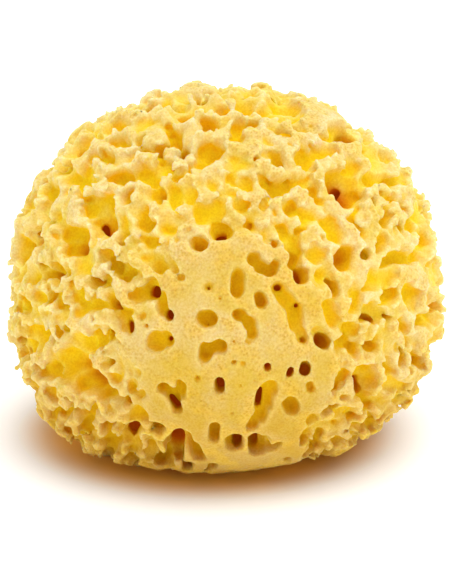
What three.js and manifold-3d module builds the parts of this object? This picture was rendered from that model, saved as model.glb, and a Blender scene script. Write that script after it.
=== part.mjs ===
// A natural bath sponge: the dried, cleaned and trimmed skeleton of a honeycomb sea sponge.
// It grew as one piece, so it is one solid: a trimmed bun with a flat cut underside, and the
// canals that open on its skin. Millimetres, +Z up, origin at the middle of the cut underside,
// with the smoother side of the skin facing -Y.
import * as THREE from "three";
import { mergeVertices } from "three/addons/utils/BufferGeometryUtils.js";
import Module from "manifold-3d";

// Driving dimensions of the trimmed body.
const WIDTH = 141;
const DEPTH = 130;
const WAIST_HEIGHT = 45; // the widest level, above the cut underside
const CROWN_HEIGHT = 69; // from the widest level to the top
const UNDER_HEIGHT = 51.5; // how far the lower half would reach if it weren't cut flat
const CROWN_FULLNESS = 2.15; // 2 is an ellipse, and more is squarer
const UNDER_FULLNESS = 2.2;
const LUMP_SHARE = 0.012; // how far the skin swells and dips, as a share of the radius

// Facets of the body and of each canal.
const BODY_DETAIL = 5;
const CANAL_SIDES = 6;
const CANAL_OVERSHOOT = 3; // how far a cutter stands out of the skin
const CANAL_FLARE = 1.05; // the cutter's outer end, as a share of the mouth
const CANAL_TAPER = 0.8; // and its inner end
const CANAL_TAPER_AT = 0.7; // where the taper gives way to the round end, as a share of the depth

// Each canal below is the longitude and latitude of its mouth in degrees, seen from the waist's
// middle, then the mouth's width and height, its turn in degrees, and the canal's depth.
// The smooth middle of the front, from the top down.
const SMOOTH_CANALS = [
  [11, 28, 11, 5, 20, 8],
  [4, 23.5, 5.8, 7.2, 0, 10],
  [19.5, 27, 4.2, 7, 0, 9],
  [10.2, 19.5, 4, 5, 15, 8],
  [-4.5, 15.5, 7, 5.6, 10, 9],
  [6, 14.5, 5.4, 6.4, -35, 8],
  [-6, 5.6, 5.6, 6, 0, 11],
  [-1.8, 7.8, 5.4, 4.6, 25, 9],
  [-1.6, -2.6, 3.8, 4.8, 0, 14],
  [-18, 8, 8, 7, 10, 9],
  [-17.5, 18.5, 6, 8, 40, 8],
  [-15.2, -6, 6.6, 9, -20, 10],
  [17.8, 12.5, 4.8, 9.5, -8, 8],
  [25, 7, 5.4, 5.4, 0, 12],
  [11, -6.5, 5.4, 9, 0, 12],
  [17, -9.5, 5.6, 5.8, 0, 9],
  [20, 0.5, 3.6, 4.4, -20, 10],
  [3, -21.5, 6.4, 5.4, 0, 10],
  [9, -23, 7, 7, 0, 10],
  [-13.5, -23.5, 8, 8, 0, 12],
  [-19.5, -17.5, 4.8, 4.2, 0, 8],
];

// The ragged sides and crown, where the mouths crowd together.
const CROWDED_WIDENING = 1.3;
const CROWDED_CANALS = [
  // The left side.
  [-26.5, -18, 6, 6.5, 0, 9],
  [-41, -18, 6, 6, 0, 8],
  [-28.5, 11, 5.4, 8, 0, 11],
  [-36, 6, 5, 5, 0, 7],
  [-43, 3, 8, 7, 0, 10],
  [-43, -7, 10, 8, 0, 11],
  [-32, -8, 8, 6, -15, 11],
  [-38, 14, 8, 6, 30, 8],
  [-49, 12, 5, 7, 0, 8],
  [-53, 20, 7, 7, 0, 9],
  [-51, 28.5, 11, 7, -25, 9],
  [-47, 37, 10, 7, -10, 10],
  [-39, 34, 6, 7, 0, 9],
  [-58, 0, 8, 8, 20, 8],
  [-62, 26, 6, 8, 0, 9],
  [-57, -15, 6, 6, 0, 8],
  // The crown.
  [-43, 46, 6, 5, 0, 10],
  [-34, 50, 9, 7, 0, 9],
  [-26, 42, 6, 5, 0, 12],
  [-15, 46, 6, 6, 0, 8],
  [-26, 33, 7, 5, 25, 8],
  [-7, 33, 6, 5, 0, 8],
  [-7, 41, 9, 6, 0, 9],
  [-0.5, 36, 7, 6, 0, 10],
  [-8, 60, 10, 8, 0, 9],
  [-34, 63, 6, 7, 0, 8],
  [-18, 70, 6, 7, 0, 8],
  [20, 68, 6, 6, 0, 7],
  [5, 52, 7, 7, 0, 8],
  [22, 50, 9, 5, 25, 9],
  [33, 48, 5, 7, 0, 8],
  [38, 58, 7, 7, 0, 8],
  [52, 58, 7, 6, 0, 8],
  [48, 45, 9, 10, 0, 12],
  // The right side.
  [22, 41, 7, 5, 10, 8],
  [17, 34, 4.6, 8, -20, 8],
  [35, 26, 7.4, 8, -25, 13],
  [27, 20, 7, 8, 0, 8],
  [32, 37, 6, 8, 30, 8],
  [58, 29, 6, 8, 0, 8],
  [56, 18, 8, 6, 20, 8],
  [46, 20, 6, 6, 0, 9],
  [34, 14, 6, 7, 0, 8],
  [44, 10, 8, 6, 15, 9],
  [55, 7, 6, 6, 0, 8],
  [64, 2, 8, 6, 0, 8],
  [34, 3, 5, 5, 0, 8],
  [29, -5, 5.4, 8, -20, 9],
  [38, -7, 8, 9, 0, 11],
  [48, -4, 6, 7, 0, 9],
  [57, -10, 7, 7, 0, 8],
  [30, -17, 7, 6, 25, 8],
  [44, -18, 7, 6, 0, 8],
];

// Canals scattered over the rest of the skin.
const SPIRAL_CANALS = 210;
const GOLDEN_ANGLE = 137.50776;
const FRONT_EDGE = 68; // the canals above lie between these longitudes, either side of -Y
const FRONT_TOP = 74; // and between these latitudes
const FRONT_BOTTOM = -29;
const LOWEST_CANAL = -40; // below this is the rim of the cut
const SPIRAL_JITTER = 8; // degrees
const NARROWEST = 8;
const WIDEST = 12.5;
const SHALLOWEST = 7;
const DEEPEST = 13;

// Canals laid open by the cut on the underside, in a ring around a whole middle.
const CUT_CANALS = 11;
const CUT_INNER = 15;
const CUT_OUTER = 29;

const radians = THREE.MathUtils.degToRad;

const wasm = await Module();
wasm.setup();

// A repeatable number from 0 to 1 for the canal with that index.
function wobble(index, salt) {
  const wave = Math.sin(index * 12.9898 + salt * 78.233) * 43758.5453;
  return wave - Math.floor(wave);
}

function directionOf(longitude, latitude) {
  const lon = radians(longitude);
  const lat = radians(latitude);
  return new THREE.Vector3(Math.sin(lon) * Math.cos(lat), -Math.cos(lon) * Math.cos(lat), Math.sin(lat));
}

// Distance from the waist's middle to the skin: two half superellipsoids that meet at the waist.
function skinRadius(direction) {
  const flat = Math.hypot(direction.x / (WIDTH / 2), direction.y / (DEPTH / 2));
  const above = direction.z >= 0;
  const reach = above ? CROWN_HEIGHT : UNDER_HEIGHT;
  const fullness = above ? CROWN_FULLNESS : UNDER_FULLNESS;
  const rise = Math.abs(direction.z) / reach;
  const plain = (flat ** fullness + rise ** fullness) ** (-1 / fullness);
  const lumps =
    Math.sin(3 * direction.x + 5 * direction.z + 1) * Math.cos(4 * direction.y - 2 * direction.z);
  return plain * (1 + LUMP_SHARE * lumps);
}

function skinPoint(direction) {
  const point = direction.clone().multiplyScalar(skinRadius(direction));
  point.z += WAIST_HEIGHT;
  return point;
}

// A three.js geometry as a solid, with the seams and poles of round geometries merged.
function solidOf(geometry) {
  geometry.deleteAttribute("normal");
  geometry.deleteAttribute("uv");
  const merged = mergeVertices(geometry, 1e-4);
  const corners = merged.index.array;
  const kept = [];
  for (let i = 0; i < corners.length; i += 3) {
    const [a, b, c] = corners.slice(i, i + 3);
    if (a !== b && b !== c && c !== a) kept.push(a, b, c);
  }
  const mesh = new wasm.Mesh({
    numProp: 3,
    vertProperties: merged.attributes.position.array,
    triVerts: new Uint32Array(kept),
  });
  return new wasm.Manifold(mesh);
}

function geometryOf(solid) {
  const { vertProperties, triVerts, numProp, numVert } = solid.getMesh();
  const points = new Float32Array(numVert * 3);
  for (let i = 0; i < numVert; i++) points.set(vertProperties.subarray(i * numProp, i * numProp + 3), i * 3);
  return new THREE.BufferGeometry()
    .setAttribute("position", new THREE.BufferAttribute(points, 3))
    .setIndex(new THREE.BufferAttribute(triVerts, 1));
}

// The trimmed bun, with its underside cut flat at z = 0.
function body() {
  const ball = new THREE.IcosahedronGeometry(1, BODY_DETAIL);
  const points = ball.attributes.position;
  const direction = new THREE.Vector3();
  for (let i = 0; i < points.count; i++) {
    direction.fromBufferAttribute(points, i).normalize();
    points.setXYZ(i, ...skinPoint(direction));
  }
  const below = new THREE.BoxGeometry(2 * WIDTH, 2 * DEPTH, WAIST_HEIGHT).translate(0, 0, -WAIST_HEIGHT / 2);
  return solidOf(ball).subtract(solidOf(below));
}

// One canal's cutter: a round-ended, slightly narrowing tube that runs inward from a point.
function cutter(point, outward, width, height, turn, depth) {
  const profile = [
    new THREE.Vector2(0, -depth),
    new THREE.Vector2(CANAL_TAPER, -CANAL_TAPER_AT * depth),
    new THREE.Vector2(CANAL_FLARE, CANAL_OVERSHOOT),
    new THREE.Vector2(0, CANAL_OVERSHOOT),
  ];
  const side = new THREE.Vector3(outward.y, -outward.x, 0);
  if (side.length() < 1e-6) side.set(1, 0, 0);
  side.normalize();
  const up = new THREE.Vector3().crossVectors(outward, side);
  const tube = new THREE.LatheGeometry(profile, CANAL_SIDES)
    .rotateX(Math.PI / 2)
    .scale(width / 2, height / 2, 1)
    .rotateZ(radians(turn))
    .applyMatrix4(new THREE.Matrix4().makeBasis(side, up, outward));
  tube.translate(...point);
  return solidOf(tube);
}

// A canal whose mouth is at that longitude and latitude of the skin.
function skinCanal([longitude, latitude, width, height, turn, depth]) {
  const outward = directionOf(longitude, latitude);
  return cutter(skinPoint(outward), outward, width, height, turn, depth);
}

// The sizes of a scattered canal: width, height, turn and depth.
function scatteredSizes(index) {
  return [
    NARROWEST + (WIDEST - NARROWEST) * wobble(index, 3),
    NARROWEST + (WIDEST - NARROWEST) * wobble(index, 4),
    180 * wobble(index, 6),
    SHALLOWEST + (DEEPEST - SHALLOWEST) * wobble(index, 5),
  ];
}

// Canals over the back, the sides and the crown, along a spiral, each moved a little off it.
function spiralCanals() {
  const found = [];
  for (let i = 0; i < SPIRAL_CANALS; i++) {
    const level = 1 - (2 * (i + 0.5)) / SPIRAL_CANALS;
    const turned = i * GOLDEN_ANGLE + SPIRAL_JITTER * (wobble(i, 1) - 0.5);
    const longitude = ((turned + 180) % 360) - 180;
    const latitude = THREE.MathUtils.radToDeg(Math.asin(level)) + SPIRAL_JITTER * (wobble(i, 2) - 0.5);
    const onFront = Math.abs(longitude) < FRONT_EDGE && latitude > FRONT_BOTTOM && latitude < FRONT_TOP;
    if (onFront || latitude < LOWEST_CANAL) continue;
    found.push(skinCanal([longitude, latitude, ...scatteredSizes(i)]));
  }
  return found;
}

function cutCanals() {
  const down = new THREE.Vector3(0, 0, -1);
  return Array.from({ length: CUT_CANALS }, (_, i) => {
    const angle = radians((i * 360) / CUT_CANALS + SPIRAL_JITTER * wobble(i, 7));
    const reach = i % 2 ? CUT_OUTER : CUT_INNER + SPIRAL_JITTER * wobble(i, 8);
    const point = new THREE.Vector3(reach * Math.cos(angle), reach * Math.sin(angle), 0);
    return cutter(point, down, ...scatteredSizes(i));
  });
}

function crowdedCanal([longitude, latitude, width, height, turn, depth]) {
  const widened = [width * CROWDED_WIDENING, height * CROWDED_WIDENING];
  return skinCanal([longitude, latitude, ...widened, turn, depth]);
}

function sponge() {
  const onFront = [...SMOOTH_CANALS.map(skinCanal), ...CROWDED_CANALS.map(crowdedCanal)];
  const cutters = [...onFront, ...spiralCanals(), ...cutCanals()];
  let solid = body();
  for (const piece of cutters) solid = solid.subtract(piece);
  const geometry = geometryOf(solid);
  geometry.computeVertexNormals();
  const skeleton = new THREE.MeshStandardMaterial({ color: 0xf3d67a, roughness: 0.95, metalness: 0 });
  const mesh = new THREE.Mesh(geometry, skeleton);
  mesh.name = "sponge";
  return mesh;
}

const group = new THREE.Group();
group.add(sponge());

export default group;
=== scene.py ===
import math

import bpy
import numpy as np
from bpy.props import FloatProperty, FloatVectorProperty, IntProperty, PointerProperty
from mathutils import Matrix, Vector


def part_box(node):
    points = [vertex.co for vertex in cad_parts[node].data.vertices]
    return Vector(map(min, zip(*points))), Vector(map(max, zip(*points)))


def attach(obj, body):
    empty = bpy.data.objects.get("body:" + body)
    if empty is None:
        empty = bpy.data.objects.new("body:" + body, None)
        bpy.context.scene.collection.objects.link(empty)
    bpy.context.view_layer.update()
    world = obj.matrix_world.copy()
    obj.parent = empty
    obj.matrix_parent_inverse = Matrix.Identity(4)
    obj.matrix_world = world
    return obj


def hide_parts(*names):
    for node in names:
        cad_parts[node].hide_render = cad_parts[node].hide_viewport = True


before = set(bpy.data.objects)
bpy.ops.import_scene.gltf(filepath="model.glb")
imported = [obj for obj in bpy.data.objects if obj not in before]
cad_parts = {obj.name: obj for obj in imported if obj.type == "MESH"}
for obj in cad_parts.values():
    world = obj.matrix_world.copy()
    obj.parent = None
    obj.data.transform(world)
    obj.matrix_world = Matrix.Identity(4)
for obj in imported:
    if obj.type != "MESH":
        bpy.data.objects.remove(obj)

bl_info = {
    "name": "Honeycomb bath sponge",
    "version": (1, 0, 0),
    "blender": (4, 5, 0),
    "location": "3D View > Sidebar > Sponge",
    "description": "Grows a trimmed honeycomb bath sponge and the table it lies on",
    "category": "Add Mesh",
}

# The carved body's box, before anything is built.
BODY_LOW, BODY_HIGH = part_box("sponge")
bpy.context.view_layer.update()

MM = 0.001


# Canals seen on the front, from the waist's middle: longitude and latitude of the mouth in
# degrees (0 is the front, plus is to the right and up), the mouth's width and height and the
# canal's depth in mm, and the mouth's turn in degrees counter-clockwise where it has one.

SMOOTH_FRONT = (
    # The kidney at the top of the smooth patch, and the ovals under it.
    (8.4, 29.1, 5, 4.8, 6), (10.8, 27.1, 5.2, 4.4, 6, -30), (13.3, 26, 4.6, 4.4, 6),
    (14.7, 27.4, 2.6, 3.4, 5), (3.9, 23.6, 5.4, 7.8, 6), (10.2, 19.1, 3.8, 4.9, 6, 12),
    (-4.1, 22.6, 3.2, 3.2, 1.6), (-4.1, 22.4, 1.4, 1.4, 4), (-0.8, 20.1, 1.2, 1.2, 1),
    (-4.1, 14.9, 7, 5.6, 6, 5), (-4.4, 13.2, 1.3, 1.3, 9),
    # The long trough at the right of the patch, with two dark dots in it.
    (19.6, 28.2, 3.6, 7, 8, -8), (20.8, 24, 4.2, 5.6, 10), (15.2, 20.4, 4, 6, 3.5, 20),
    (16.6, 17.6, 4.6, 7, 4, 34), (18.4, 13, 5, 9.5, 4.5, 6), (19.8, 8.2, 4, 6, 4, 12),
    (14.9, 21.4, 2.4, 2.6, 10), (19.1, 16, 1.8, 1.8, 10), (20.4, 6.6, 2, 2.2, 6),
    # The hook.
    (4.4, 16.3, 4.8, 4.2, 6, -20), (6.5, 14, 4.4, 5.2, 6, 8), (6.9, 11.4, 3.6, 5.4, 5.5),
    (5.9, 9.4, 2.5, 3.2, 2.5),
    # The bean in the middle, and the small dark holes to its right.
    (-5.1, 6.1, 4.9, 6.6, 6), (-1, 7.4, 4.9, 5.2, 6), (-3.1, 6.9, 4.4, 4.4, 6, 20),
    (-1.4, -2.7, 3.8, 4.7, 13), (10.3, 1.7, 2.2, 2.6, 9), (16.3, -0.8, 2.2, 3.2, 11, -20),
    (20.3, -0.5, 3.5, 4.8, 12, -20), (17.1, -10.8, 5.6, 5.7, 6.5),
    # The long hollow at the lower right, with the dark slit in its left wall.
    (11.2, -4.8, 6.4, 6.2, 6), (10.4, -7.9, 5.4, 8, 6.5, -15), (9, -11.9, 4.4, 7.4, 6, -22),
    (7.4, -15.2, 3.4, 6, 5, -25), (8.5, -6.8, 2.3, 6, 15, -12), (-2.9, -18.3, 3.7, 5.8, 6),
    (-2.7, -16, 2.8, 3, 5), (2.7, -22.7, 6.6, 5.2, 6), (3.6, -21.8, 3.6, 3.8, 15),
    (9.9, -24.8, 6.2, 6.4, 7), (8.2, -22.4, 3.6, 4.4, 14), (13.8, -25.4, 5, 2.6, 5, 20),
    (14.9, -24.1, 2.6, 2, 7, 20),
    # The egg and the heart at the left.
    (-18.7, 7.6, 7.2, 7.8, 6.5), (-16.1, 8.6, 6, 6.2, 6.5), (-14.9, 8.9, 2, 2, 11),
    (-17, -5, 4.6, 3.9, 6), (-12.6, -4.4, 3.7, 6, 6), (-14.8, -6.4, 5.2, 4.4, 6),
    (-13.4, -9.6, 3.6, 5.6, 6, 30), (-14, -9.1, 2.2, 5.4, 14, 36),
    # The two dark wells above the egg.
    (-24.2, 19.8, 6.4, 4.6, 4.5), (-21, 21.2, 5, 6.4, 6, 10), (-19.6, 20.8, 2.9, 4.6, 14, 10),
    (-17.1, 17.7, 4, 8, 5.5, 12), (-14.7, 15.1, 3.2, 3.6, 15, 20), (-12.1, 23.9, 3.2, 2.4, 2.5),
    # The arch at the bottom left, the flaps under it, and the mouths beside it.
    (-12.6, -20.6, 7.4, 6, 6.5), (-15.5, -25.8, 5.4, 7.8, 16), (-9.3, -26.8, 4.4, 8, 6, 28),
    (-19.5, -17.8, 4.6, 4.1, 6), (-27.2, -20.3, 4.6, 4.6, 15), (-25.2, -14.8, 6.4, 4.6, 4.5, 15),
    # Shallow pits and pores in the smooth skin.
    (-7.6, -0.5, 2.2, 2, 1), (-7.8, -0.6, 1, 1, 2.4), (-8.9, -4.8, 1.1, 1.1, 1.6),
    (-5.7, -7.3, 3.2, 2.4, 0.9, 20), (-5.2, -7.6, 1, 1, 2.4), (-6.6, -6.6, 1, 0.9, 2.2),
    (2.4, 3.5, 1.5, 1.4, 1.8), (4.7, 3.1, 2.4, 2, 1.1), (4.4, 3.4, 1, 0.9, 2.4),
    (4, -2.4, 1.1, 1.1, 1.6), (4.5, -5.2, 1.9, 2.2, 1.2), (3.8, -8.8, 1.3, 1.3, 1.8),
    (2.2, -10.8, 3, 2.2, 1), (1.7, -11.2, 1.4, 1.3, 2.6), (7.2, -1.4, 1.2, 1.1, 1.4),
    (-22.6, -8, 3, 2.4, 1.2), (5.1, 9.2, 1.7, 1.4, 1.2), (2.6, 9.2, 1.1, 1, 1.4),
    (11, 13, 2.6, 2, 0.9), (19, -6.8, 1.5, 1.3, 1.6), (-21.2, -2.4, 2.2, 1.5, 0.9, 10),
)

CROWDED_FRONT = (
    # Right of the smooth patch, from the bottom up.
    (28, -23.5, 3.4, 3.4, 6.5), (35, -16.6, 8.1, 5.5, 5, 12), (31, -5, 3.8, 8.4, 7, -28),
    (39, -6.4, 7.7, 10.6, 9), (36.8, -7.6, 3.4, 5.4, 14.5), (46.6, -5, 4.6, 5.3, 7),
    (41, 1.6, 4.6, 4.4, 7), (35, 3.4, 5.3, 4.6, 7), (25, 6.6, 5.1, 5.1, 11),
    (24.6, 8.4, 7.3, 6.8, 4), (34.4, 8.6, 5.9, 4.4, 6), (40, 10, 5.4, 2.4, 9.5, -18),
    (43, 11.4, 7.7, 5.5, 5), (29, 14, 6.6, 9.9, 5, 12), (28, 24, 9.2, 8.8, 4.5),
    (26, 29, 6.6, 5.9, 4), (35.2, 27, 7, 8.4, 9.5, -28), (43, 18, 2.4, 2.4, 5),
    (47, 19, 8.8, 7.3, 5), (49, 13.8, 6.2, 5.1, 6), (53, 5, 4.8, 4.6, 7), (58, 11, 6.8, 5.9, 6),
    (55, 21.2, 11, 4.8, 6, 8), (55, 0.4, 3.4, 3.4, 6.5), (63.5, 3.2, 7, 5.7, 7),
    (59.4, -7, 4.8, 5.5, 7.5), (50.6, -11, 6.6, 5.5, 6), (43, -15, 5.5, 6.6, 8),
    (24.4, -16, 5.4, 3, 3, 20), (22, -6, 3, 3.6, 4),
    # The crown's right half.
    (3.6, 51, 2.8, 3.8, 5.5), (5, 54.6, 7, 8.1, 4), (8, 49, 5.1, 4.4, 6),
    (21.4, 54, 3.4, 3.4, 6.5), (12, 56.6, 1.8, 1.8, 4.5), (38, 54.6, 6.8, 7, 8, 20),
    (49.4, 54.6, 7.9, 5.5, 6, -12), (44, 54, 5.6, 3.4, 4), (18.6, 47, 6.2, 5.3, 8, 10),
    (24, 48.6, 7.7, 5.1, 7, 22), (30.6, 49.2, 6.2, 4.8, 6, -5), (34, 46, 3.8, 6.4, 7, 8),
    (47, 46, 11, 9, 10), (46, 42, 7.7, 8.1, 11), (42.6, 43, 3.6, 5, 17),
    (22.4, 42, 6.6, 4.8, 7, 10), (27.4, 39.2, 7, 5.5, 6), (44.4, 37, 2.6, 6.6, 5.5, -30),
    (34, 35, 5.7, 11, 6, 24), (55, 33, 3.8, 6.8, 7, -10), (66, 42.4, 7.7, 4.8, 7),
    (9, 69, 4.8, 4.6, 7), (-5, 77, 4.8, 4.6, 7), (-14.4, 69.4, 5.9, 5.5, 8), (62, 70, 9.2, 4.8, 6),
    (62, 58, 6.4, 3.8, 7), (18, 36.6, 4.8, 6.6, 6, 20), (20.4, 32.4, 4.6, 8.1, 6, 14),
    (23.4, 36.2, 2.6, 2.8, 5.5), (14.4, 33, 2.6, 3.4, 5.5), (4.6, 44, 5.1, 4.4, 5),
    (68, 27, 5.1, 6.2, 7.5), (71, 39, 5.5, 5.1, 7.5), (-8, 60.4, 10.6, 7.3, 8),
    (-9.6, 57, 5.7, 5.5, 9), (-5.6, 41.4, 11.4, 6.8, 7),
    # The crown's left half.
    (-1.4, 37, 8.1, 7.5, 9), (-2.2, 35, 4.6, 3.4, 14), (-8.2, 33, 5.9, 5.7, 7),
    (-42.4, 47, 7.7, 6.4, 9), (-34, 49.6, 9.5, 7.7, 8, 14), (-26.4, 53, 7, 8.4, 7),
    (-30, 48.6, 8.1, 6.8, 9), (-25.4, 44.4, 6.2, 5.5, 8, 10), (-18.4, 45, 6.2, 8.6, 6, -12),
    (-12.6, 46, 6.4, 5.7, 6), (-17.4, 51, 6.6, 2.8, 5.5, 15), (-25.6, 39.4, 2, 3.4, 5, 10),
    (-25.4, 37, 5.3, 5.1, 6), (-18, 37.2, 5.9, 5.5, 5), (-23.4, 32.6, 6.8, 4.4, 5, 25),
    (-46, 38.6, 11.4, 7.3, 8, 10), (-41, 35, 8.1, 7, 9.5, -30), (-38.6, 33.4, 3.2, 4.6, 15.5),
    (-50.6, 29.4, 8.8, 7, 9, -15), (-47, 27, 6.6, 5.9, 11, -25), (-53, 19.6, 5.7, 7.7, 8.5, 10),
    (-48, 20.6, 1.8, 3.8, 4.5, 22), (-31, 63.6, 5.5, 7, 8), (-57, 57, 5.5, 5.1, 7),
    (-37, 72, 5.9, 5.5, 5), (-41, 57.6, 4.8, 2.6, 5.5), (-64, 42.6, 6.4, 5.5, 6),
    (-59, 46, 5.7, 4.8, 6), (-76, 35.6, 7, 5.9, 8), (-53, 43.6, 3.6, 2.4, 5), (-3, 48.6, 2, 2, 5),
    (-43, 24, 5.7, 8.1, 6), (-34.4, 22.2, 3, 4.8, 6), (-57, 51.4, 4.8, 3.6, 6),
    (-35.6, 28, 6.2, 4.8, 5), (-27.9, 12, 5.3, 9.7, 7, 8), (-26.5, 10.4, 2, 4.6, 11, 8),
    (-36, 5.4, 5.3, 5.1, 7.5),
    # The left side, down to the cut.
    (-40.8, 2.6, 7.7, 7, 8), (-44.6, -3.6, 12, 10.8, 9), (-38.6, -6.6, 10.8, 8.2, 9.5, -18),
    (-30.4, -3.6, 4.8, 3.4, 6.5, 8), (-33.4, -9, 5.9, 5.5, 8, -20), (-41, -17.2, 5.3, 5.5, 8),
    (-50.4, -19.4, 4.6, 4.8, 7), (-52, -14, 3.6, 5.4, 6.5, 10), (-61, -15.4, 4.6, 6.6, 7, 8),
    (-45.4, -15.2, 3.2, 5.6, 6, 12), (-44, -23.4, 5.1, 5.5, 7.5), (-37, -26, 5.1, 5.3, 7.5),
    (-53, -8.4, 5, 3.6, 6.5), (-58.4, 11.6, 3.6, 5.2, 6.5), (-45, 16.4, 2.6, 7.4, 5.5, 18),
    (-49.4, 12.4, 2.6, 5.8, 5.5, 12), (-38.6, 13.6, 9.5, 5.5, 6, 22),
    (-41.6, 15.4, 3.4, 6.6, 7, 10), (-59, 0.4, 7, 8.1, 8), (-66, -6, 7.7, 5.5, 8, -20),
    (-67, 7, 5.5, 7, 8), (-23, 14.4, 3.2, 3.2, 2.5), (-21.4, 11.8, 1.8, 1.8, 3),
    (-23.4, -8, 3, 2.6, 3), (-31, -25.6, 5.1, 4.8, 7), (-35.6, -20.4, 4, 3.8, 7),
    # Along the cut, where it runs through canals and leaves teeth between them.
    (28.9, -28.4, 4.6, 3.8, 5.5), (29.6, -34.5, 4.2, 3.2, 5), (33.3, -23.8, 4.2, 2.8, 3, 24),
    (37.8, -28.4, 4.6, 3.6, 5), (38.6, -34.5, 4.4, 3, 5), (42.5, -24.2, 5.2, 2.8, 4.5),
    (44.6, -30, 4.2, 3, 4.5), (46.5, -22.2, 3.6, 3.4, 5.5), (50.6, -27, 4.8, 4.2, 5.5),
    (53, -34, 4.6, 3.6, 5), (48.6, -16.2, 6, 5.6, 4.5), (54.9, -12.8, 3.6, 3.6, 5),
    (57.6, -18.2, 4.2, 4.8, 5), (61, -24.6, 4.6, 4.6, 5.5), (21.8, -35, 3, 2, 3),
    (13.6, -40.6, 2.6, 1.6, 2.5), (2.6, -42, 2.6, 1.5, 2.5), (-6.4, -41, 2.8, 1.8, 3),
    (-14, -38, 4.2, 4, 9), (-21.2, -34.6, 4.4, 4.8, 9), (-4.6, -37, 3.2, 3, 6),
    (-24.3, -31, 3.6, 5.8, 5), (-29.6, -29, 4.6, 4.4, 5.5), (-33.6, -36.5, 4.4, 3.6, 6),
    (-38.7, -30.4, 5.2, 6, 5.5), (-44.6, -37.8, 5, 3.6, 6), (-42.8, -24.9, 4.4, 4.4, 5),
    (-56.8, -23.5, 3, 6.2, 5, 22), (-51.6, -30.6, 4.6, 5, 5.5),
)


# ---- What a user would change.

# How far the skin reaches past the carved body, whose flat facets cut its curves short.
WIDER = 1.01
LONGER = 1.007


def millimetres(name, description, default):
    return FloatProperty(
        name=name,
        description=description,
        default=default * MM,
        subtype="DISTANCE",
        unit="LENGTH",
    )


def colour(name, description, default):
    return FloatVectorProperty(
        name=name, description=description, default=default, subtype="COLOR", min=0, max=1
    )


class SpongeSizes(bpy.types.PropertyGroup):
    """Sizes of the trimmed bun and of the canals in it."""

    width: millimetres(
        "Width", "Across the sponge, left to right", (BODY_HIGH[0] - BODY_LOW[0]) / MM * WIDER
    )
    depth: millimetres(
        "Depth",
        "From the front of the sponge to its back",
        (BODY_HIGH[1] - BODY_LOW[1]) / MM * LONGER,
    )
    waist: millimetres("Waist height", "Height of the widest level above the cut", 45)
    height: millimetres("Height", "From the cut underside to the top", BODY_HIGH[2] / MM)
    cell: millimetres("Grain", "Spacing of the block the sponge is carved from", 0.5)
    tear: millimetres("Tear", "How far torn mouths wander", 0.6)
    seed: IntProperty(name="Seed", description="Which sponge grows", default=7)
    triangles: IntProperty(
        name="Triangles", description="Most triangles in the skeleton", default=190000
    )


class SpongeColours(bpy.types.PropertyGroup):
    """Colours of the dried skeleton and of the table."""

    skin: colour("Skin", "Outer skin and the tops of the walls", (0.78, 0.595, 0.145))
    # Wall is partly the walls' own colour and partly painted shade, laid more thickly deeper in
    # and where a place is shut in.
    wall: colour("Wall", "Walls just inside a canal", (0.97, 0.69, 0.013))
    # Deep is painted shade: the red-brown put where canals are deep or shut in.
    deep: colour("Deep", "Bottoms of the deep canals", (0.64, 0.19, 0.002))
    table: colour("Table", "The pale table", (0.95, 0.95, 0.95))


# ---- The bun's outer shape.

UNDER_REACH = 51.5  # mm that the lower half would reach below the waist if it weren't cut flat
CROWN_FULLNESS = 2.15  # 2 is an ellipse, and more is squarer
UNDER_FULLNESS = 2.2
# Longitude, latitude and reach in degrees, and how far the skin swells there, as a share.
SWELLINGS = ((-56, -36, 24, 0.07), (60, -32, 22, 0.025))

# Where the skin is whole: longitude, latitude, reach across and reach up, in degrees.
SMOOTH_PATCHES = (
    (2, 4, 25, 31),
    (4, -34, 18, 18),
    (158, -8, 28, 22),
    (-112, -28, 22, 12),
    (80, 64, 9, 6),
)
PATCH_END = 1.2  # where a patch has given way to crowded mouths, as a share of its reach
PATCH_FADE = 0.3  # over how much of its reach it does so
RAGGED_BELOW = 0.35  # how whole the skin may be where mouths still crowd together


def squared_oval(flat, rise, fullness):
    """How far out a squared oval's surface is, along a direction in shares of its radii."""
    return (flat**fullness + rise**fullness) ** (-1 / fullness)


def trimmed_radius(x, y, z, sizes):
    """Distance from the waist's middle to the trimmed skin, along a unit direction, in mm."""
    flat = np.sqrt((x / (sizes.width / MM / 2)) ** 2 + (y / (sizes.depth / MM / 2)) ** 2)
    crown = (sizes.height - sizes.waist) / MM
    above = squared_oval(flat, np.maximum(z, 0) / crown, CROWN_FULLNESS)
    below = squared_oval(flat, np.maximum(-z, 0) / UNDER_REACH, UNDER_FULLNESS)
    swelling = 1.0
    for longitude, latitude, reach, share in SWELLINGS:
        middle = facing(longitude, latitude)
        apart = 2 - 2 * (x * middle[0] + y * middle[1] + z * middle[2])
        swelling = swelling + share * np.exp(-apart / math.radians(reach) ** 2)
    return np.where(z >= 0, above, below) * swelling


def facing(longitude, latitude):
    """Unit direction from the waist's middle at that longitude and latitude."""
    lon, lat = np.radians(longitude), np.radians(latitude)
    return np.stack((np.sin(lon) * np.cos(lat), -np.cos(lon) * np.cos(lat), np.sin(lat)), axis=-1)


def on_skin(longitude, latitude, sizes):
    """The point of the trimmed skin at that longitude and latitude, in mm."""
    out = facing(longitude, latitude)
    far = trimmed_radius(out[..., 0], out[..., 1], out[..., 2], sizes)
    return out * far[..., None] + (0, 0, sizes.waist / MM)


def skin_normal(longitude, latitude, sizes):
    """Unit outward normal of the trimmed skin, from points half a degree to each side."""
    step = 0.5
    east = on_skin(longitude + step, latitude, sizes) - on_skin(longitude - step, latitude, sizes)
    north = on_skin(longitude, latitude + step, sizes) - on_skin(longitude, latitude - step, sizes)
    normal = np.cross(east, north)
    return normal / np.linalg.norm(normal, axis=-1, keepdims=True)


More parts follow.
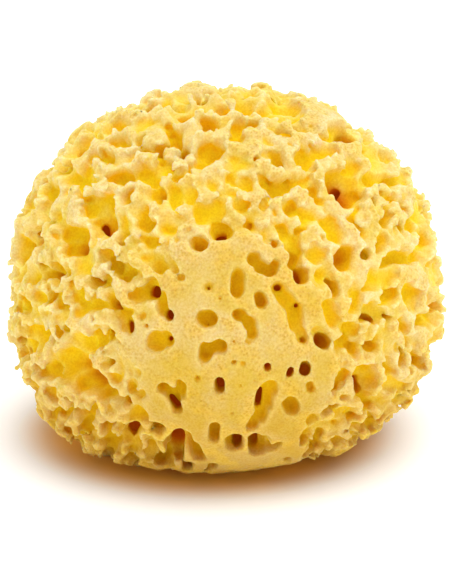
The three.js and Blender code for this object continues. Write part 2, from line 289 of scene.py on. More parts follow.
def smoothness(longitude, latitude):
    """From 0 where mouths crowd together to 1 where the skin is whole."""
    best = np.zeros_like(longitude, dtype=float)
    for at_lon, at_lat, across, up in SMOOTH_PATCHES:
        turn = (longitude - at_lon + 180) % 360 - 180
        far = np.hypot(turn * np.cos(np.radians(latitude)) / across, (latitude - at_lat) / up)
        best = np.maximum(best, np.clip((PATCH_END - far) / PATCH_FADE, 0, 1))
    return best


# ---- Canals.

TAPER = 0.25  # how much a canal narrows to its bottom, as a share of its radius
TUNNEL_TAPER = 0.1

# The direction that the sizes of the front's mouths are given along: from the front, raised.
VIEW_TILT = 20  # degrees
SEEN_FROM = np.array((0, -math.cos(math.radians(VIEW_TILT)), math.sin(math.radians(VIEW_TILT))))
SEEN_RIGHT = np.array((1.0, 0.0, 0.0))
SEEN_UP = np.cross(SEEN_FROM, SEEN_RIGHT)
MOST_SLANTED = 0.42  # the flattest that a mouth is taken to be seen

# How far a placed canal runs along that direction rather than square to the skin: the share for
# a shallow one, what a deep one adds, the depth where it starts to add and over how many mm.
SHALLOW_STRAIGHT, DEEP_STRAIGHT = 0.25, 0.5
STRAIGHT_FROM, STRAIGHT_OVER = 8, 4

MOST_MOUTHS = 12000
LOWEST_SINE = -0.74  # the sine of the lowest latitude that mouths are scattered over
OVER_CUT = 0.5  # mm above the cut that a scattered mouth stays

DEEPEST_TUNNEL = 13.0  # mm below the skin, past which nothing can be seen
LEAST_TUNNELLED = 2.0  # the smallest canal's radius that tunnels lead on from, in mm


def canal(mouth, inward, across, half_width, radius, depth, taper=TAPER):
    """A slot-mouthed tube: where it opens, where it goes, and how wide and deep it is."""
    if depth < radius:
        mouth = mouth - inward * (radius - depth)
        depth = radius
    return mouth, inward, across, half_width, radius, depth, taper


def unit(vector):
    return vector / np.linalg.norm(vector)


def square_to(vector, inward):
    """The vector's part that is square to the canal's line, as a unit vector."""
    return unit(vector - inward * vector.dot(inward))


def placed_canal(row, sizes):
    """A canal whose mouth is laid on the slanting skin so that it keeps its size as seen."""
    longitude, latitude, width, height, depth, *turn = row
    normal = skin_normal(longitude, latitude, sizes)
    mouth = on_skin(longitude, latitude, sizes)
    angle = math.radians(*turn) if turn else 0.0
    slant = max(normal.dot(SEEN_FROM), MOST_SLANTED)
    along_width = (width, math.cos(angle), math.sin(angle))
    along_height = (height, -math.sin(angle), math.cos(angle))
    axes = []
    for size, sideways, upward in (along_width, along_height):
        seen = SEEN_RIGHT * sideways + SEEN_UP * upward
        axes.append((seen - SEEN_FROM * seen.dot(normal) / slant) * size / 2)
    lengths, directions = np.linalg.svd(np.array(axes).T, full_matrices=False)[1::-1]
    deepened = min(max((depth - STRAIGHT_FROM) / STRAIGHT_OVER, 0), 1)
    straight = SHALLOW_STRAIGHT + DEEP_STRAIGHT * deepened
    inward = unit(-normal * (1 - straight) - SEEN_FROM * straight)
    across = square_to(directions[:, 0], inward)
    return canal(mouth, inward, across, lengths[0] - lengths[1], lengths[1], depth)


def scatter(taken, kinds, sizes, rng):
    """Mouths over the skin wherever their kind belongs and there is room beside the others."""
    spots = np.zeros((MOST_MOUTHS, 3))
    reach = np.zeros(MOST_MOUTHS)
    count = len(taken)
    spots[:count] = [c[0] for c in taken]
    reach[:count] = [c[3] * 0.7 + c[4] for c in taken]
    canals = []
    for tries, allowed, radii, gap, deep, wide, lean in kinds:
        lat = np.degrees(np.arcsin(rng.uniform(LOWEST_SINE, 1, tries)))
        lon = rng.uniform(-180, 180, tries)
        points = on_skin(lon, lat, sizes)
        normals = skin_normal(lon, lat, sizes)
        radii = rng.uniform(*radii, tries)
        fits = allowed(lon, lat) & (points[:, 2] > OVER_CUT)
        for i in np.nonzero(fits)[0]:
            point, radius = points[i], radii[i]
            away = np.sqrt(((spots[:count] - point) ** 2).sum(axis=1)) - reach[:count]
            if away.min() < radius + gap * radius:
                continue
            inward = unit(-normals[i] + rng.normal(0, lean, 3))
            across = square_to(rng.normal(0, 1, 3), inward)
            half_width = radius * rng.uniform(*wide)
            depth = radius * rng.uniform(*deep)
            canals.append(canal(point, inward, across, half_width, radius, depth))
            spots[count] = point
            reach[count] = radius + half_width * 0.5
            count += 1
    return canals


def on_front(lon, lat):
    """Where the large mouths are placed one by one."""
    return (np.abs(lon) < 66) & (lat < 74)


def ragged(lon, lat):
    """Where mouths crowd together."""
    return smoothness(lon, lat) < RAGGED_BELOW


def chunky(lon, lat):
    """Patches where the walls are left wider, about 25 degrees across."""
    eastward = np.sin(lon * 0.23 + 1.7 * np.sin(lat * 0.13))
    northward = np.sin(lat * 0.27 + 1.3 * np.sin(lon * 0.11) + 0.6)
    return eastward * northward > 0.08


def scattered_canals(placed, sizes, rng):
    """Mouths that crowd together on the ragged sides, and lone ones on the smooth skin."""
    def hidden(lon, lat):
        return ragged(lon, lat) & ~on_front(lon, lat)

    def among_placed(lon, lat):
        return ragged(lon, lat) & on_front(lon, lat)

    def among_sparse(lon, lat):
        return among_placed(lon, lat) & ~chunky(lon, lat)

    def whole(lon, lat):
        return ~ragged(lon, lat) & ~on_front(lon, lat)

    def sparse(lon, lat):
        return ragged(lon, lat) & ~chunky(lon, lat)

    kinds = (
        # tries, where, radii in mm, gap, depth, slot and lean, the last four as shares
        (9000, hidden, (3.6, 5.8), -0.42, (0.8, 1.7), (0, 0.6), 0.35),
        (9000, hidden, (2.4, 3.6), -0.46, (0.7, 1.6), (0, 0.7), 0.35),
        (9000, among_placed, (2.8, 4.4), -0.40, (0.3, 0.8), (0, 0.6), 0.3),
        (9000, among_sparse, (1.8, 2.8), -0.36, (0.4, 1.0), (0, 0.7), 0.35),
        (9000, sparse, (1.2, 2.0), -0.36, (0.6, 1.8), (0, 0.8), 0.35),
        (1500, whole, (1.8, 3.6), 0.9, (1.4, 2.6), (0, 0.7), 0.2),
        (900, whole, (0.8, 1.5), 1.3, (1.5, 5.0), (0, 0.4), 0.2),
        (5000, ragged, (0.7, 1.0), 0.1, (0.9, 2.6), (0, 0.5), 0.3),
    )
    return scatter(placed, kinds, sizes, rng)


def inner_tunnels(canals, rng):
    """Narrower tunnels that lead on from the bottoms and walls of the larger canals."""
    tunnels = []
    for mouth, inward, across, half_width, radius, depth, _ in canals:
        if radius < LEAST_TUNNELLED:
            continue
        for _ in range(rng.integers(1, 3)):
            along = rng.uniform(0.5, 0.9) * depth
            start = mouth + inward * along + across * rng.uniform(-1, 1) * half_width
            onward = unit(inward + rng.normal(0, 0.6, 3))
            side = square_to(across + 0.01, onward)
            size = rng.uniform(0.9, 0.5 * radius + 0.4)
            reach = min(rng.uniform(5, 9), max(3.0, DEEPEST_TUNNEL - along))
            wide = size * rng.uniform(0, 0.5)
            tunnels.append(canal(start, onward, side, wide, size, reach, TUNNEL_TAPER))
    return tunnels


def cut_canals(rng):
    """Canals laid open by the flat cut underneath."""
    cut_radius, oblong, wall = 40, 1.08, 0.9  # mm, a share and mm
    canals = []
    centres = []
    for _ in range(4000):
        x, y = rng.uniform(-44, 44, 2)
        radius = rng.uniform(1.0, 4.2)
        if math.hypot(x / oblong, y) > cut_radius:
            continue
        if any(math.hypot(x - cx, y - cy) < radius + cr + wall for cx, cy, cr in centres):
            continue
        centres.append((x, y, radius))
        inward = unit(np.array((*rng.uniform(-0.35, 0.35, 2), 1.0)))
        across = square_to(rng.normal(0, 1, 3), inward)
        mouth = np.array((x, y, 0.0))
        canals.append(canal(mouth, inward, across, radius * 0.3, radius * 0.8, radius * 2.2))
    return canals


def edge_bites(sizes, rng):
    """Notches where the cut runs through canals at its edge, so that its rim is toothed."""
    cut_latitude = -math.degrees(math.asin(0.61))  # near the cut's edge, to search down from
    bites = []
    longitude = -180.0
    while longitude < 180:
        on_smooth = -10 < longitude < 34
        radius = rng.uniform(0.7, 1.7) if on_smooth else rng.uniform(1.3, 3.6)
        latitude = cut_latitude + rng.uniform(-3, 3)
        mouth = on_skin(longitude, latitude, sizes)
        while mouth[2] > 0.3:
            latitude -= 0.5
            mouth = on_skin(longitude, latitude, sizes)
        out = math.hypot(mouth[0], mouth[1])
        inward = unit(np.array((-mouth[0], -mouth[1], rng.uniform(0.9, 1.8) * out)))
        across = square_to(rng.normal(0, 1, 3), inward)
        mouth = mouth + 0.25 * radius * np.array((mouth[0], mouth[1], 0)) / out
        half_width = radius * rng.uniform(0, 0.6)
        depth = radius * rng.uniform(0.9, 1.7)
        bites.append(canal(mouth, inward, across, half_width, radius, depth))
        longitude += rng.uniform(1.6, 3.4) * radius + 1.5
    return bites


# ---- The block the sponge is carved from.


class Block:
    """A box of evenly spaced points, in mm."""

    def __init__(self, low, high, step):
        self.low = np.asarray(low, dtype=np.float32)
        self.step = step
        self.shape = tuple(int(math.ceil((h - l) / step)) + 1 for l, h in zip(low, high))

    def axes(self):
        """Where the points are along each axis, shaped so that they spread over the block."""
        places = []
        for i, n in enumerate(self.shape):
            shape = [-1 if j == i else 1 for j in range(3)]
            along = self.low[i] + self.step * np.arange(n, dtype=np.float32)
            places.append(along.reshape(shape))
        return places

    def blends(self, size):
        """For each axis, how much each lattice point that far apart counts at each block point."""
        for n in self.shape:
            at = np.arange(n) * self.step / size + 1
            cell = at.astype(int)
            t = at - cell
            blend = np.zeros((n, int(n * self.step / size) + 5), dtype=np.float32)
            rows = np.arange(n)
            blend[rows, cell - 1] = (1 - t) ** 3 / 6
            blend[rows, cell] = (3 * t**3 - 6 * t**2 + 4) / 6
            blend[rows, cell + 1] = (-3 * t**3 + 3 * t**2 + 3 * t + 1) / 6
            blend[rows, cell + 2] = t**3 / 6
            yield blend

    def spread(self, lattice, blends):
        """A field on the block from its values on a coarser lattice."""
        first, second, third = blends
        lattice = lattice.astype(np.float32)
        field = np.matmul(second, lattice)
        field = (first @ field.reshape(len(lattice), -1)).reshape(len(first), len(second), -1)
        return (field.reshape(-1, lattice.shape[2]) @ third.T).reshape(self.shape)

    def drift(self, size, rng):
        """A smooth random field with features about that size, in mm, and unit spread."""
        blends = list(self.blends(size))
        lattice = rng.uniform(-1, 1, [b.shape[1] for b in blends])
        field = self.spread(lattice, blends)
        field /= field[::7, ::7, ::7].std()  # every seventh point is enough to tell
        return field

    def coarse_axes(self, size, blends):
        """Where the coarser lattice's points are."""
        places = []
        for i, blend in enumerate(blends):
            places.append(self.low[i] + size * (np.arange(blend.shape[1]) - 1.0))
        return np.meshgrid(*places, indexing="ij")

    def window(self, low, high):
        """The part of the block that holds a smaller box."""
        start = [max(0, int((l - o) / self.step)) for l, o in zip(low, self.low)]
        ends = zip(high, self.low, self.shape)
        stop = [min(n, int((h - o) / self.step) + 2) for h, o, n in ends]
        return tuple(slice(a, max(a, b)) for a, b in zip(start, stop))

    def sample(self, field, points):
        """The field at those points, in mm, blended from the eight block points round each."""
        at = (points - self.low) / self.step
        at = np.clip(at, 0, np.array(self.shape) - 1.001)
        cell = at.astype(int)
        t = (at - cell).astype(np.float32)
        total = np.zeros(len(points), dtype=np.float32)
        for corner in range(8):
            bits = [(corner >> i) & 1 for i in range(3)]
            share = np.ones(len(points), dtype=np.float32)
            for i, bit in enumerate(bits):
                share *= t[:, i] if bit else 1 - t[:, i]
            x, y, z = (cell[:, i] + bit for i, bit in enumerate(bits))
            total += share * field[x, y, z]
        return total


CARVED_AWAY = 3.5  # mm round a canal within which its distance is still worked out
BLUNT = 1.7  # how much blunter than a ball a deep canal's bottom is
BLUNT_FROM = 1.3  # the depth in radii past which it is


def carve(field, wandered, block, canals):
    """Takes the canals out of a field whose value is how far a point is from open space."""
    for mouth, inward, across, half_width, radius, depth, taper in canals:
        standing_out = radius * 0.5 + 3
        outside = mouth - inward * standing_out
        inside = mouth + inward * depth
        reach = radius * 1.1 + half_width + CARVED_AWAY
        low, high = np.minimum(outside, inside) - reach, np.maximum(outside, inside) + reach
        window = block.window(low, high)
        x, y, z = (w[window] for w in wandered)
        x, y, z = x - mouth[0], y - mouth[1], z - mouth[2]
        along = x * inward[0] + y * inward[1] + z * inward[2]
        wide = x * across[0] + y * across[1] + z * across[2]
        square = x * x + y * y + z * z
        tall2 = np.maximum(square - along * along - wide * wide, 0)
        wide = np.maximum(np.abs(wide) - half_width, 0)
        blunt = BLUNT if depth > BLUNT_FROM * radius else 1.0
        bottom = max(depth - radius / blunt, 0.1)
        past = blunt * (along - np.clip(along, -standing_out, bottom))
        narrowed = radius * (1 - taper * np.clip(along / bottom, -0.3, 1))
        away = np.sqrt(wide * wide + tall2 + past * past) - narrowed
        np.minimum(field[window], away, out=field[window])


def blurred(field, reach, passes=2):
    """A box blur along each axis, with that reach in points."""
    for _ in range(passes):
        for axis in range(3):
            total = np.cumsum(field, axis=axis, dtype=np.float32)
            n = field.shape[axis]
            high = np.minimum(np.arange(n) + reach, n - 1)
            low = np.arange(n) - reach - 1
            upper = np.take(total, high, axis=axis)
            lower = np.take(total, np.maximum(low, 0), axis=axis)
            shape = [1, 1, 1]
            shape[axis] = n
            lower *= (low >= 0).reshape(shape)
            field = (upper - lower) / (2 * reach + 1)
    return field


def surface(field, block):
    """Quads round the places where the field changes sign, with corners placed between them."""
    inside = field > 0
    corner_ids = []
    corner_points = []
    facing_out = []
    for axis in range(3):
        here = [slice(None)] * 3
        there = [slice(None)] * 3
        here[axis], there[axis] = slice(None, -1), slice(1, None)
        here, there = tuple(here), tuple(there)
        crossing = np.nonzero(inside[here] != inside[there])
        near, far = field[here][crossing], field[there][crossing]
        points = np.stack(crossing, axis=1).astype(np.float32)
        points[:, axis] += near / (near - far)
        u, v = (axis + 1) % 3, (axis + 2) % 3
        cells = []
        for du, dv in ((0, 0), (1, 0), (1, 1), (0, 1)):
            cell = np.stack(crossing, axis=1)
            cell[:, u] -= du
            cell[:, v] -= dv
            cells.append(np.ravel_multi_index(cell.T, field.shape))
        corner_ids.append(np.stack(cells, axis=1))
        corner_points.append(points)
        facing_out.append(near > 0)
    ids = np.concatenate(corner_ids)
    points = np.concatenate(corner_points)
    outward = np.concatenate(facing_out)
    _, corners = np.unique(ids, return_inverse=True)
    corners = corners.reshape(ids.shape)
    count = np.bincount(corners.ravel())
    places = []
    for axis in range(3):
        total = np.bincount(corners.ravel(), weights=np.repeat(points[:, axis], 4))
        places.append(total / count)
    corners[~outward] = corners[~outward, ::-1]
    return np.stack(places, axis=1) * block.step + block.low, corners


def without_crumbs(points, quads):
    """Only the largest connected body, because a torn-off crumb would fall away."""
    label = np.arange(len(points))
    near, far = quads[:, :2].ravel(), quads[:, 2:].ravel()
    while True:
        low = np.minimum(label[quads].min(axis=1).repeat(2), label[label[near]])
        before = label.copy()
        np.minimum.at(label, near, low)
        np.minimum.at(label, far, low)
        for _ in range(3):
            label = label[label]
        if np.array_equal(before, label):
            break
    largest = np.bincount(label).argmax()
    kept = label == largest
    renumber = np.cumsum(kept) - 1
    quads = quads[kept[quads[:, 0]]]
    return points[kept], renumber[quads]


def plain_mesh(name, points, faces):
    """A mesh from corner points in metres and faces that all have as many corners."""
    sides = faces.shape[1]
    mesh = bpy.data.meshes.new(name)
    mesh.vertices.add(len(points))
    mesh.vertices.foreach_set("co", np.asarray(points, dtype=np.float32).ravel())
    mesh.loops.add(faces.size)
    mesh.loops.foreach_set("vertex_index", faces.astype(np.int32).ravel())
    mesh.polygons.add(len(faces))
    mesh.polygons.foreach_set("loop_start", np.arange(0, faces.size, sides, dtype=np.int32))
    mesh.update(calc_edges=True)
    mesh.validate()
    return mesh


FINE_WORTH = 0.004  # how strongly the thinning spares the fine places
FINE_LEVELS = 8  # how many steps there are between coarse and fine


def thinned(mesh, most, fine):
    """The surface's points and at most that many triangles, finest where fine is near 1."""
    mesh.calc_loop_triangles()
    full = len(mesh.loop_triangles)
    work = bpy.data.objects.new("thinning", mesh)
    bpy.context.collection.objects.link(work)
    group = work.vertex_groups.new(name="coarse")
    level = np.round((1 - fine) * FINE_LEVELS).astype(int)
    for i in range(FINE_LEVELS + 1):
        weight = (i + 1) / (FINE_LEVELS + 1)
        group.add(np.nonzero(level == i)[0].tolist(), weight, "REPLACE")
    thin = work.modifiers.new("thin", "DECIMATE")
    thin.ratio = min(1.0, most / full)
    thin.vertex_group = group.name
    thin.vertex_group_factor = FINE_WORTH
    thin.use_collapse_triangulate = True
    bpy.context.view_layer.update()
    result = work.evaluated_get(bpy.context.evaluated_depsgraph_get()).data
    points = np.empty((len(result.vertices), 3), dtype=np.float32)
    result.vertices.foreach_get("co", points.ravel())
    triangles = np.empty((len(result.polygons), 3), dtype=np.int32)
    result.loops.foreach_get("vertex_index", triangles.ravel())
    bpy.data.objects.remove(work)
    bpy.data.meshes.remove(mesh)
    # Thinning lays a few pairs of triangles back to back, and only the first of each is kept.
    _, first = np.unique(np.sort(triangles, axis=1), axis=0, return_index=True)
    return points, triangles[np.sort(first)]


# ---- The skeleton. Sizes are in mm.

SPARE = 2.5  # how far the block reaches past the skin
COARSE = 2.0  # spacing for distances that change slowly

# How far the skin goes up and down over each size of lump, and how far it is torn down.
BROAD_LUMPS, BROAD_LUMP_SIZE = 0.35, 9
SMALL_LUMPS, SMALL_LUMP_SIZE = 0.12, 2.4
TORN_DOWN, TORN_SIZE = 0.7, 4.0

# How far the canals' walls wander, and over what size.
SLOW_WANDER, SLOW_WANDER_SIZE = 0.5, 8.0
QUICK_WANDER, RAGGED_WANDER, QUICK_WANDER_SIZE = 0.08, 0.36, 2.6

# Near the skin, mouths are torn and ridged.
NEAR_SKIN = 2.5
OPEN_AIR = 4  # distance from open space given to points with none near
SMOOTH_TEAR, RAGGED_TEAR, TEAR_SIZE = 0.2, 0.8, 0.9
RIDGES, RIDGE_SIZE = 1.4, 1.7

# Rims are soft in patches of the ragged skin and sharp elsewhere.
SOFTEST_RIM, SHARP_RIM = 1.9, 0.05
SOFT_MIDDLE, SOFT_SWING, SOFT_PATCH_SIZE = 0.38, 0.7, 12
RUBBED_OFF = 0.9

# The whole is rubbed a little, and shreds with too little round them are taken off.
RUBBED = 0.5
RUB_BACK = 0.03
STOUT_INSIDE, STOUT_SHARE, STOUT_EDGE = 0.3, 0.06, 4

# Counting the cut face deeper gives the canals near it the painted shade of deep canals.
CUT_DEPTH, CUT_SHADE = 1.6, 2  # how deep the cut face counts as, and how quickly it gets deeper
FINE_TO, FINE_OVER = 2.0, 6.0  # depth where fine detail starts to give way, and over how much
FINE_HOLLOW, WIDE_HOLLOW = 0.9, 2.6  # how far round a point its share of skeleton is measured


def skeleton_field(sizes, block, rng):
    """How far inside the skeleton each point of the block is, and how far inside the skin."""
    x, y, z = block.axes()
    blends = list(block.blends(COARSE))
    cx, cy, cz = block.coarse_axes(COARSE, blends)
    up = cz - sizes.waist / MM
    far = np.sqrt(cx * cx + cy * cy + up * up) + 1e-6
    skin = block.spread(trimmed_radius(cx / far, cy / far, up / far, sizes) - far, blends)
    lon, lat = np.degrees(np.arctan2(cx, -cy)), np.degrees(np.arcsin(up / far))
    rough = block.spread(1 - smoothness(lon, lat), blends)
    lumps = BROAD_LUMPS * block.drift(BROAD_LUMP_SIZE, rng)
    skin += lumps + SMALL_LUMPS * block.drift(SMALL_LUMP_SIZE, rng)
    skin -= rough * TORN_DOWN * np.maximum(block.drift(TORN_SIZE, rng), 0)
    lying = np.broadcast_to(z, block.shape)

    wandered = []
    for w in (x, y, z):
        slow = SLOW_WANDER * block.drift(SLOW_WANDER_SIZE, rng)
        quick = QUICK_WANDER + RAGGED_WANDER * rough
        wandered.append(w + slow + quick * block.drift(QUICK_WANDER_SIZE, rng))
    placed = [placed_canal(row, sizes) for row in SMOOTH_FRONT + CROWDED_FRONT]
    places = np.random.default_rng((sizes.seed, 1))
    scattered = scattered_canals(placed, sizes, places)
    canals = placed + scattered + cut_canals(places) + edge_bites(sizes, places)
    canals += inner_tunnels(scattered, places)
    open_space = np.full(block.shape, OPEN_AIR, dtype=np.float32)
    carve(open_space, wandered, block, canals)
    del wandered
    near_skin = np.exp(np.maximum(skin, 0) * np.float32(-1 / NEAR_SKIN))
    torn = sizes.tear / MM * (SMOOTH_TEAR + RAGGED_TEAR * rough)
    open_space += torn * block.drift(TEAR_SIZE, rng) * near_skin
    open_space -= RIDGES * rough * np.abs(block.drift(RIDGE_SIZE, rng)) * near_skin

    soft = np.clip(SOFT_MIDDLE + SOFT_SWING * block.drift(SOFT_PATCH_SIZE, rng), 0, 1)
    softness = SOFTEST_RIM * rough * soft + SHARP_RIM
    share = np.clip(0.5 + 0.5 * (open_space - skin) / softness, 0, 1)
    solid = np.minimum(skin, open_space) - softness * share * (1 - share) * RUBBED_OFF
    del share, softness, soft
    solid = (1 - RUBBED) * solid + RUBBED * blurred(solid, 1, passes=1) + RUB_BACK
    stout = blurred((solid > STOUT_INSIDE).astype(np.float32), 2, passes=1)
    solid = np.minimum(np.minimum(solid, (stout - STOUT_SHARE) * STOUT_EDGE), lying)
    return solid, np.minimum(skin, CUT_SHADE * lying + CUT_DEPTH)


def grow_skeleton(sizes):
    """The sponge's mesh, with how deep and how enclosed each point is as attributes."""
    step = sizes.cell / MM
    across, along = sizes.width / MM / 2 + SPARE, sizes.depth / MM / 2 + SPARE
    low, high = (-across, -along, -SPARE * 0.7), (across, along, sizes.height / MM + SPARE)
    block = Block(low, high, step)
    solid, inside_skin = skeleton_field(sizes, block, np.random.default_rng(sizes.seed))
    points, quads = without_crumbs(*surface(solid, block))
    deep = block.sample(inside_skin, points)
    fine = np.clip(1 - (deep - FINE_TO) / FINE_OVER, 0, 1)
    full = plain_mesh("full skeleton", points, quads)
    points, triangles = thinned(full, sizes.triangles, fine)
    mesh = plain_mesh("sponge skeleton", points * np.float32(MM), triangles)

    filled = (solid > 0).astype(np.float32)
    measures = {"depth_in": inside_skin}
    for name, reach in (("hollow_fine", FINE_HOLLOW), ("hollow_wide", WIDE_HOLLOW)):
        measures[name] = blurred(filled, max(1, round(reach / step)))
    for name, field in measures.items():
        layer = mesh.attributes.new(name, "FLOAT", "POINT")
        layer.data.foreach_set("value", block.sample(field, points).astype(np.float32))
    return mesh


# ---- Finishes. Depths are in mm, the hollow attributes are shares, and heights are in metres.

PALE_SKIN = (0.81, 0.665, 0.335, 1)
# Painted highlight on the rims, and painted shade in the dips.
RIM_HIGHLIGHT = (0.85, 0.715, 0.45, 1)
SHADED_DIP = (0.85, 0.60, 0.05, 1)
DARKEST_SHADE = (0.36, 0.075, 0.001, 1)
PORE = (0.62, 0.36, 0.04, 1)
PORE_CLUSTER = (0.85, 0.56, 0.05, 1)
SHONE_THROUGH = (0.115, 0.014, 0.0, 1)  # light through the walls into the deepest canals
UNLIT = (0, 0, 0, 1)
WHITE = (1, 1, 1, 1)

# What the colour is multiplied by: painted shade towards the cut, more painted shade close to the
# cut, painted shade at the front, and the skeleton's own grain.
LOW_SHADE_TINT = (0.90, 0.82, 0.58, 1)
NEAR_CUT_SHADE_TINT = (0.80, 0.69, 0.50, 1)
FRONT_SHADE_TINT = (0.96, 0.92, 0.76, 1)
GRAIN_TINT = (0.93, 0.86, 0.68, 1)

# How many features of each kind there are to a metre.
PATCHES_A_METRE = 60
GRAINS_A_METRE = 1500
PORES_A_METRE = 1050
CLUSTERS_A_METRE = 125

# The painted shadow round the sponge on the table, tinted warm for the light that comes through
# the sponge: its middle, its half width and half length in metres, and its colour.
SHADOW_MIDDLE, SHADOW_ACROSS, SHADOW_ALONG = -0.006, 0.072, 0.0625
WARM_SHADOW_TINT = (0.95, 0.50, 0.06, 1)


class Nodes:
    """Short names for adding and joining a material's nodes."""

    def __init__(self, name):
        self.material = bpy.data.materials.new(name)
        self.material.use_nodes = True
        self.tree = self.material.node_tree
        self.tree.nodes.clear()

    def add(self, kind, inputs=None, **settings):
        """A node with those settings, and with those values or sockets fed into its inputs."""
        node = self.tree.nodes.new(kind)
        for name, value in settings.items():
            setattr(node, name, value)
        for name, value in (inputs or {}).items():
            if isinstance(value, bpy.types.NodeSocket):
                self.tree.links.new(value, node.inputs[name])
            else:
                node.inputs[name].default_value = value
        return node

    def maths(self, operation, a, b=0.0, clamp=False):
        settings = {"operation": operation, "use_clamp": clamp}
        return self.add("ShaderNodeMath", {0: a, 1: b}, **settings).outputs[0]

    def times(self, a, b):
        return self.maths("MULTIPLY", a, b)

    def between(self, value, low, high, to_low=0.0, to_high=1.0):
        inputs = dict(enumerate((value, low, high, to_low, to_high)))
        return self.add("ShaderNodeMapRange", inputs, interpolation_type="SMOOTHSTEP").outputs[0]

    def mix(self, share, a, b, blend="MIX"):
        inputs = {0: share, 6: a, 7: b}
        return self.add("ShaderNodeMix", inputs, data_type="RGBA", blend_type=blend).outputs[2]

    def tinted(self, share, base, tint):
        return self.mix(share, base, self.mix(1.0, base, tint, "MULTIPLY"))

    def place(self):
        return self.add("ShaderNodeTexCoord").outputs["Object"]

    def split(self, vector):
        return self.add("ShaderNodeSeparateXYZ", {0: vector}).outputs

    def attribute(self, name):
        return self.add("ShaderNodeAttribute", attribute_name=name).outputs["Fac"]

    def noise(self, place, scale, detail):
        inputs = {"Vector": place, "Scale": scale, "Detail": detail}
        return self.add("ShaderNodeTexNoise", inputs).outputs["Fac"]

    def finished(self, shader):
        self.add("ShaderNodeOutputMaterial", {"Surface": shader.outputs[0]})
        return self.material


def skeleton_finish(colours):
    """Dried horny skeleton: cream skin with fine pores and golden walls; painted shade makes the
    walls more golden deeper in, the deep canals brown and the low and front sides darker, painted
    highlights pale the rims, and a painted glow lights the deepest canals.
    """
    n = Nodes("dried sponge skeleton")
    place = n.place()
    _, along, up = n.split(place)
    depth = n.attribute("depth_in")
    fine = n.attribute("hollow_fine")
    wide = n.attribute("hollow_wide")

    patchy = n.between(n.noise(place, PATCHES_A_METRE, 4), 0.38, 0.62)
    skin = n.mix(patchy, (*colours.skin, 1), PALE_SKIN)
    # Painted highlight: rims are painted paler, as if they catch the light; painted shade: dips
    # are painted yellower.
    skin = n.mix(n.between(fine, 0.20, 0.48, 0.75, 0.0), skin, RIM_HIGHLIGHT)
    skin = n.mix(n.between(fine, 0.52, 0.74, 0.0, 0.9), skin, SHADED_DIP)
    # The walls are golden, and more so deeper in and where the skeleton shuts a place in: partly
    # the walls' own colour and partly painted shade.
    sunk = n.times(n.between(depth, 0.3, 5.6), 0.62)
    enclosed = n.times(n.between(wide, 0.38, 0.68), 0.46)
    golden = n.maths("ADD", sunk, enclosed, clamp=True)
    base = n.mix(golden, skin, (*colours.wall, 1))
    # Painted shade: shut-in and deep canals are painted red-brown, and darkest at the bottom.
    shut_in = n.times(n.between(wide, 0.76, 0.98), n.between(depth, 3.0, 7.0))
    deepest = n.maths("MAXIMUM", shut_in, n.between(depth, 7.0, 11.0))
    base = n.mix(deepest, base, (*colours.deep, 1))
    base = n.mix(n.between(depth, 8.5, 12.5), base, DARKEST_SHADE)
    # Painted shade: darker towards the cut, and more so close to it.
    base = n.tinted(n.between(up, 0.005, 0.070, 1.0, 0.0), base, LOW_SHADE_TINT)
    base = n.tinted(n.between(up, 0.002, 0.046, 1.0, 0.0), base, NEAR_CUT_SHADE_TINT)

    on_skin = n.between(depth, 0.4, 2.0, 1.0, 0.0)
    dusted = n.noise(place, CLUSTERS_A_METRE, 3)
    cluster = n.times(n.between(dusted, 0.44, 0.64), on_skin)
    spots = {"Vector": place, "Scale": PORES_A_METRE}
    pores = n.add("ShaderNodeTexVoronoi", spots, feature="F1").outputs["Distance"]
    pitted = n.between(pores, 0.12, 0.65, 1.0, 0.0)
    stipple = n.times(n.times(pitted, on_skin), n.between(dusted, 0.30, 0.60))
    grain = n.noise(place, GRAINS_A_METRE, 3)
    # Painted shade on the front, which gets less light than the crown.
    base = n.tinted(n.between(along, -0.061, -0.044, 1.0, 0.0), base, FRONT_SHADE_TINT)
    base = n.mix(n.times(cluster, 0.42), base, PORE_CLUSTER)
    base = n.mix(n.times(stipple, 0.5), base, PORE)
    base = n.tinted(n.between(grain, 0.35, 0.68), base, GRAIN_TINT)

    height = n.maths("ADD", n.times(grain, 0.6), n.times(stipple, -0.7))
    bump = n.add("ShaderNodeBump", {"Strength": 0.5, "Distance": 0.0005, "Height": height})
    inputs = {
        "Base Color": base,
        "Normal": bump.outputs["Normal"],
        "Roughness": 0.9,
        "Specular IOR Level": 0.04,
        "Subsurface Weight": 0.85,
        "Subsurface Radius": (1.0, 0.78, 0.2),
        "Subsurface Scale": 0.0045,
        "Emission Color": n.mix(deepest, UNLIT, SHONE_THROUGH),
        "Emission Strength": 1.0,
    }
    return n.finished(n.add("ShaderNodeBsdfPrincipled", inputs))


def table_finish(colours):
    """White table top that glows, with a painted warm shadow round the sponge where the glow is
    left out, standing for the light that comes through the sponge.
    """
    n = Nodes("white table")
    across, along, _ = n.split(n.place())
    across = n.maths("DIVIDE", n.maths("SUBTRACT", across, SHADOW_MIDDLE), SHADOW_ACROSS)
    along = n.maths("DIVIDE", along, SHADOW_ALONG)
    squares = n.maths("ADD", n.maths("POWER", across, 2.0), n.maths("POWER", along, 2.0))
    outward = n.maths("SQRT", squares)
    inputs = {
        # Painted shadow: near the sponge the table is painted warm brown and its glow is left out;
        # farther out it glows evenly.
        "Base Color": n.mix(n.between(outward, 0.62, 0.90), WARM_SHADOW_TINT, (*colours.table, 1)),
        "Roughness": 0.8,
        "Emission Color": WHITE,
        "Emission Strength": n.times(n.between(outward, 0.70, 1.08), 0.25),
    }
    return n.finished(n.add("ShaderNodeBsdfPrincipled", inputs))


def screen_finish():
    """An evenly lit white screen."""
    n = Nodes("white screen")
    return n.finished(n.add("ShaderNodeEmission"))


# ---- Operators. The stage's sizes are in metres and its angles in degrees.

